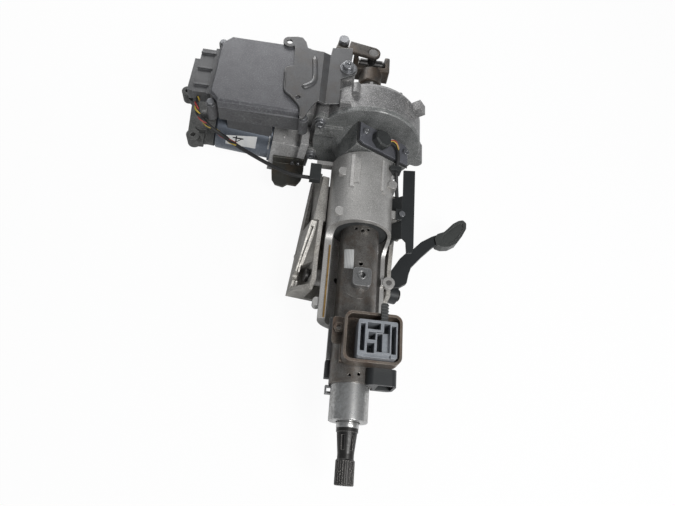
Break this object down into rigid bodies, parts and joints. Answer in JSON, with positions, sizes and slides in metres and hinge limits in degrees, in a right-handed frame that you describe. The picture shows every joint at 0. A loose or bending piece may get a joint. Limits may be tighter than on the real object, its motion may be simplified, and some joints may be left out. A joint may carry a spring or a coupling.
{
  "type": "steering column",
  "caption": "Power steering column with splined wheel shaft, sliding tube in a cast jacket, worm gearbox, motor, control unit, tilt console, lever and folding universal joint.",
  "frame": {"origin": "mouth of the steering-wheel bolt hole, on the column's axis", "axes": "+Y along the column towards the universal joint, +X towards the lever, +Z towards the open window of the jacket"},
  "size_m": [0.3694, 0.5493, 0.1396],
  "materials": {
    "cast_aluminium": "satin",
    "dark_casting": "matte",
    "lid_casting": "satin",
    "zinc_steel": "satin",
    "polished_steel": "polished",
    "tube_steel": "satin",
    "bare_steel": "satin",
    "brown_steel": "matte",
    "black_steel": "matte",
    "phosphate_steel": "matte",
    "grey_plastic": "matte",
    "black_plastic": "matte",
    "gear_plastic": "matte",
    "bush_plastic": "matte",
    "black_rubber": "matte",
    "brass_strip": "satin"
  },
  "bodies": {
    "console": {"mounting_console": "cast_aluminium"},
    "column": {"outer_tube": "cast_aluminium", "guide_bushes": "bush_plastic", "slide_strip": "brass_strip", "rail_pin": "bare_steel", "side_bracket": "black_steel", "gear_cover": "cast_aluminium", "housing_bolts": "zinc_steel", "gear_housing": "cast_aluminium", "gearbox_bearings": "bare_steel", "worm_bearings": "bare_steel", "worm_housing": "lid_casting", "motor_can": "zinc_steel", "motor_stator": "bare_steel", "motor_end_bracket": "dark_casting", "rear_bracket": "brown_steel", "ecu_base": "lid_casting", "ecu_lid": "lid_casting", "case_screws": "zinc_steel", "ecu_connector": "black_plastic", "ecu_bracket": "zinc_steel", "sensor_gasket": "black_rubber", "sensor_plate": "zinc_steel", "torque_sensor": "black_plastic", "sensor_cable_right": "black_rubber", "sensor_cable_left": "black_rubber", "cable_plug": "black_plastic", "cable_clip": "black_plastic", "clamp_bolt": "phosphate_steel"},
    "slider": {"inner_tube": "tube_steel", "bearing_collar": "polished_steel", "upper_bearing": "bare_steel", "lock_bracket": "brown_steel", "lock_insert": "grey_plastic", "lock_shroud": "black_steel", "guide_block": "black_plastic", "slide_rail": "polished_steel", "rail_stop": "black_plastic", "spring_clip": "polished_steel", "stop_plate": "polished_steel"},
    "upper_spindle": {"steering_shaft": "phosphate_steel", "upper_bearing_race": "bare_steel"},
    "lower_spindle": {"lower_shaft": "bare_steel", "gearbox_races": "bare_steel", "torsion_bar": "bare_steel", "output_shaft": "bare_steel", "worm_wheel": "gear_plastic", "wheel_hub": "bare_steel", "sensor_rotor": "bare_steel", "output_yoke": "brown_steel", "fork_cups": "bare_steel"},
    "worm": {"worm_shaft": "bare_steel", "worm_races": "bare_steel", "motor_rotor": "bare_steel"},
    "cross": {"joint_cross": "phosphate_steel"},
    "clamp_fork": {"clamp_yoke": "bare_steel", "clamp_cups": "bare_steel", "pinch_bolt": "zinc_steel"},
    "lever": {"lever_arm": "black_steel", "lever_grip": "black_plastic"}
  },
  "joints": [
    {"name": "tilt", "type": "hinge", "parent": "console", "child": "column", "pos_m": [-0.00777, 0.452, -0.02898], "axis": [0.9659, 0, -0.2588], "range_deg": [-2.2, 2.2]},
    {"name": "reach", "type": "slide", "parent": "column", "child": "slider", "axis": [0, 1, 0], "range_m": [-0.025, 0.02]},
    {"name": "shaft_spin", "type": "hinge", "parent": "column", "child": "lower_spindle", "pos_m": [0, 0.4, 0], "axis": [0, 1, 0], "continuous": true},
    {"name": "wheel_spin", "type": "hinge", "parent": "slider", "child": "upper_spindle", "pos_m": [0, 0.06, 0], "axis": [0, 1, 0], "continuous": true},
    {"name": "worm_spin", "type": "hinge", "parent": "column", "child": "worm", "pos_m": [-0.00653, 0.404, -0.04957], "axis": [0.9914, 0, -0.1305], "continuous": true},
    {"name": "cross_swing", "type": "hinge", "parent": "lower_spindle", "child": "cross", "pos_m": [0, 0.519, 0], "axis": [1, 0, 0], "range_deg": [-20, 20]},
    {"name": "yoke_swing", "type": "hinge", "parent": "cross", "child": "clamp_fork", "pos_m": [0, 0.519, 0], "axis": [0, 0, 1], "range_deg": [-160, 0]},
    {"name": "lever_swing", "type": "hinge", "parent": "column", "child": "lever", "pos_m": [0.04536, 0.208, -0.04321], "axis": [0.9659, 0, -0.2588], "range_deg": [0, 50]}
  ],
  "couplings": [
    {"joint": "wheel_spin", "follows": "shaft_spin", "ratio": 1},
    {"joint": "worm_spin", "follows": "shaft_spin", "ratio": 21}
  ]
}
